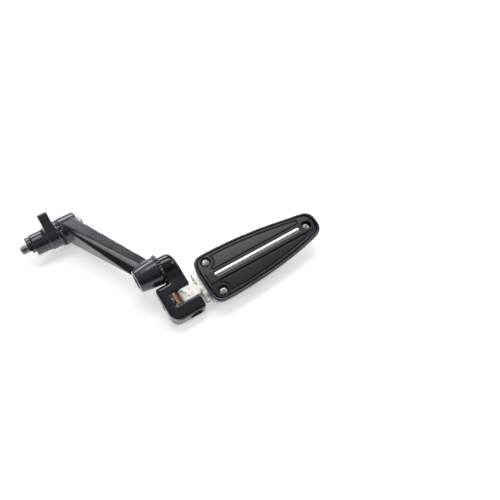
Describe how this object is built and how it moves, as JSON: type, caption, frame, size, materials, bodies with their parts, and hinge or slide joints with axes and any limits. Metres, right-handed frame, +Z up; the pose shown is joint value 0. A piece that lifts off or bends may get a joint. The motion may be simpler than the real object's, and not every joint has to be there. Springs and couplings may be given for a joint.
{
  "type": "passenger peg bracket",
  "caption": "Adjustable motorcycle passenger peg: a mount base with two stop ears, a cranked arm, a clevis and a folding foot peg with a rubber pad and a bright strip.",
  "frame": {"origin": "on the axis of the upper joint's bolt, at the end face of the round boss that enters the motorcycle's frame", "axes": "+X outward along the bolt, +Z up, the arm runs towards -Y"},
  "size_m": [0.273, 0.2012, 0.0437],
  "materials": {
    "black_coat": "satin powder coat",
    "gloss_black_coat": "gloss",
    "black_coat_pan": "satin",
    "zinc_steel": "zinc plated",
    "spring_steel": "ground",
    "nickel_plate": "plated, worn",
    "copper_spring": "dull",
    "bronze_spring": "dull",
    "pad_rubber": "matte moulded",
    "bright_chrome": "polished"
  },
  "bodies": {
    "base": {"mount_base": "black_coat", "upper_lock_ring": "black_coat", "base_bolt": "zinc_steel", "base_bolt_washer": "zinc_steel"},
    "arm": {"arm": "black_coat", "lower_lock_ring": "black_coat"},
    "clevis": {"clevis": "gloss_black_coat", "clevis_bolt": "zinc_steel", "clevis_bolt_washer": "zinc_steel", "clevis_pin": "zinc_steel", "pin_snap_ring": "spring_steel", "pin_side_washers": "spring_steel", "detent_leaf_1": "copper_spring", "detent_leaf_2": "bronze_spring", "detent_leaf_3": "spring_steel", "detent_screw": "spring_steel"},
    "peg": {"male_mount": "nickel_plate", "mount_shim": "nickel_plate", "mount_nut": "zinc_steel", "mount_nut_washer": "zinc_steel", "peg_pan": "black_coat_pan", "pan_inserts": "bronze_spring", "pad_plate": "spring_steel", "rubber_pad": "pad_rubber", "pad_screws": "zinc_steel", "chrome_strip": "bright_chrome", "strip_nuts": "spring_steel"}
  },
  "joints": [
    {"name": "arm_angle", "type": "hinge", "parent": "base", "child": "arm", "pos_m": [0.0404, 0, 0], "axis": [1, 0, 0], "continuous": true},
    {"name": "clevis_angle", "type": "hinge", "parent": "arm", "child": "clevis", "pos_m": [0.094, -0.1127, 0.0089], "axis": [1, 0, 0], "range_deg": [-120, 75]},
    {"name": "peg_fold", "type": "hinge", "parent": "clevis", "child": "peg", "pos_m": [0.10425, -0.14619, -0.00506], "axis": [0, -0.9636, -0.2672], "range_deg": [0, 90]}
  ]
}
